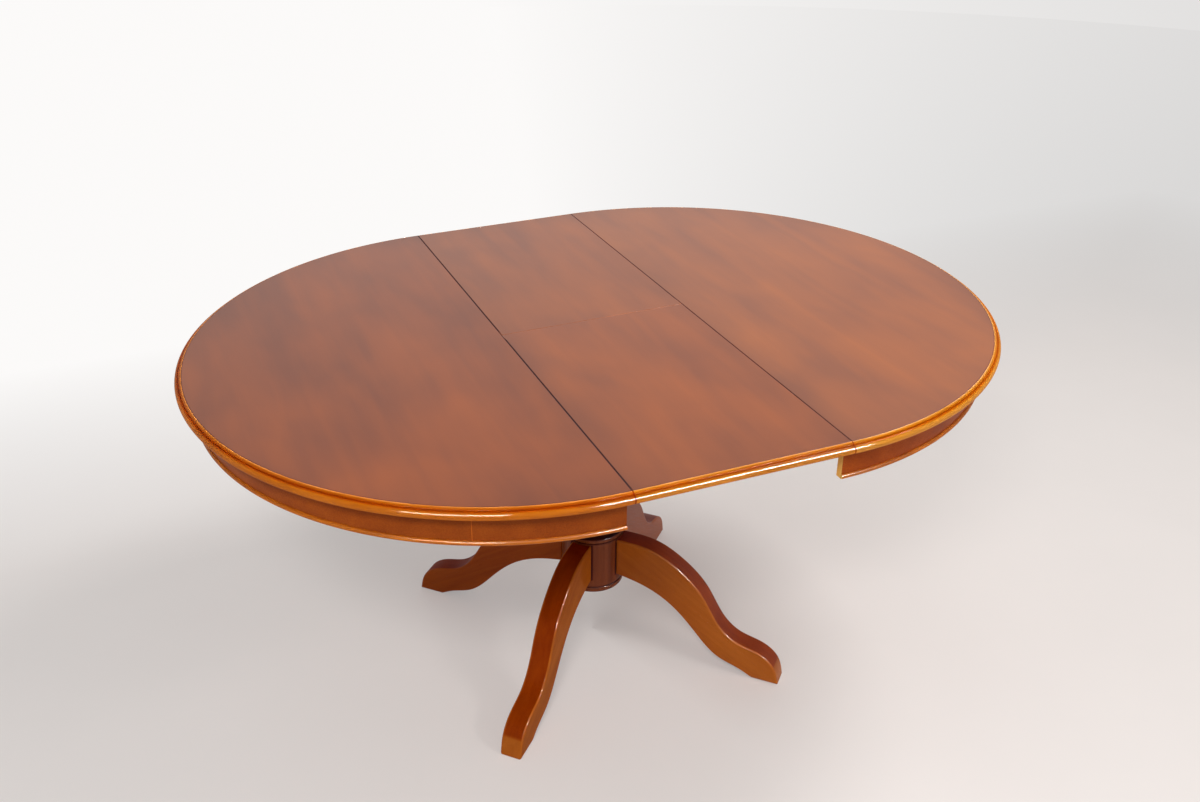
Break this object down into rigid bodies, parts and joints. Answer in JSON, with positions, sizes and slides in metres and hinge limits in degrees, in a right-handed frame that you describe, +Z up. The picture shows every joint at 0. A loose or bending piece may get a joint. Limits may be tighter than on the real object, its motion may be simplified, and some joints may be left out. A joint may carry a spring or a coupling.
{
  "type": "extending pedestal dining table",
  "caption": "Round wooden dining table on a turned pedestal with sabre legs; the half tops slide apart on rails around a folding leaf with a moulded edge.",
  "frame": {"origin": "on the floor, under the middle of the column", "axes": "+X along the pull of the half tops, +Y to the rear edge, +Z up"},
  "size_m": [1.5806, 1.2, 0.76],
  "materials": {
    "top_veneer": "semi-gloss stained mahogany veneer",
    "edge_wood": "gloss honey stained solid moulding",
    "apron_wood": "satin stained veneer",
    "leg_wood": "semi-gloss stained solid wood",
    "frame_wood": "raw planed beech",
    "zinc_steel": "zinc plated",
    "brass": "turned brass",
    "nylon": "moulded nylon"
  },
  "bodies": {
    "left_half": {"apron_bead_left": "apron_wood", "apron_left": "apron_wood", "catch_pivots_left": "zinc_steel", "edge_moulding_left": "edge_wood", "glue_blocks_left": "frame_wood", "rack_left": "nylon", "rack_spacer_left": "frame_wood", "runner_screws_left": "zinc_steel", "runners_left": "frame_wood", "top_panel_left": "top_veneer"},
    "right_half": {"apron_bead_right": "apron_wood", "apron_right": "apron_wood", "catch_pivots_right": "zinc_steel", "edge_moulding_right": "edge_wood", "glue_blocks_right": "frame_wood", "rack_right": "nylon", "rack_spacer_right": "frame_wood", "runner_screws_right": "zinc_steel", "runners_right": "frame_wood", "top_panel_right": "top_veneer"},
    "base": {"bearer_screws": "zinc_steel", "centre_rail_front": "frame_wood", "centre_rail_rear": "frame_wood", "column_screws": "zinc_steel", "column_top_block": "frame_wood", "cross_bearer_left": "frame_wood", "cross_bearer_right": "frame_wood", "foot_glides": "nylon", "hub_cap": "leg_wood", "leg_bolt_nuts": "zinc_steel", "leg_bolt_washers": "zinc_steel", "leg_bolts": "zinc_steel", "leg_dowels": "frame_wood", "leg_front_left": "leg_wood", "leg_front_right": "leg_wood", "leg_hub": "leg_wood", "leg_rear_left": "leg_wood", "leg_rear_right": "leg_wood", "pedestal_column": "leg_wood", "pinion_clip": "zinc_steel", "pinion_stud": "zinc_steel", "rail_screws": "zinc_steel", "tie_rod": "zinc_steel", "tie_rod_nuts": "zinc_steel", "tie_rod_washers": "zinc_steel"},
    "catch_left_front": {"catch_left_front": "zinc_steel"},
    "catch_left_rear": {"catch_left_rear": "zinc_steel"},
    "catch_right_front": {"catch_right_front": "zinc_steel"},
    "catch_right_rear": {"catch_right_rear": "zinc_steel"},
    "leaf_front": {"catch_studs_front": "zinc_steel", "leaf_battens_front": "frame_wood", "leaf_hinge_barrels_front": "brass", "leaf_moulding_front": "edge_wood", "leaf_panel_front": "top_veneer"},
    "leaf_rear": {"catch_studs_rear": "zinc_steel", "leaf_battens_rear": "frame_wood", "leaf_hinge_barrels_rear": "brass", "leaf_moulding_rear": "edge_wood", "leaf_panel_rear": "top_veneer"},
    "pinion": {"equaliser_pinion": "nylon"}
  },
  "joints": [
    {"name": "left_slide", "type": "slide", "parent": "base", "child": "left_half", "axis": [-1, 0, 0], "range_m": [0, 0.05]},
    {"name": "right_slide", "type": "slide", "parent": "base", "child": "right_half", "axis": [1, 0, 0], "range_m": [0, 0.05]},
    {"name": "pinion_spin", "type": "hinge", "parent": "base", "child": "pinion", "pos_m": [0, 0, 0.721], "axis": [0, 0, 1], "range_deg": [0, 119.37]},
    {"name": "leaf_lift", "type": "slide", "parent": "base", "child": "leaf_rear", "axis": [0, 0, 1], "range_m": [0, 0.12]},
    {"name": "leaf_fold", "type": "hinge", "parent": "leaf_rear", "child": "leaf_front", "pos_m": [0, 0, 0.7604], "axis": [-1, 0, 0], "range_deg": [0, 180]},
    {"name": "catch_left_front_swing", "type": "hinge", "parent": "left_half", "child": "catch_left_front", "pos_m": [-0.2183, -0.4, 0.7391], "axis": [0, 0, 1], "range_deg": [0, 90]},
    {"name": "catch_left_rear_swing", "type": "hinge", "parent": "left_half", "child": "catch_left_rear", "pos_m": [-0.2183, 0.4, 0.7391], "axis": [0, 0, 1], "range_deg": [0, 90]},
    {"name": "catch_right_front_swing", "type": "hinge", "parent": "right_half", "child": "catch_right_front", "pos_m": [0.2183, -0.4, 0.7391], "axis": [0, 0, 1], "range_deg": [0, 90]},
    {"name": "catch_right_rear_swing", "type": "hinge", "parent": "right_half", "child": "catch_right_rear", "pos_m": [0.2183, 0.4, 0.7391], "axis": [0, 0, 1], "range_deg": [0, 90]}
  ],
  "couplings": [
    {"joint": "right_slide", "follows": "left_slide", "ratio": 1},
    {"joint": "pinion_spin", "follows": "left_slide", "rad_per_m": 41.667}
  ]
}
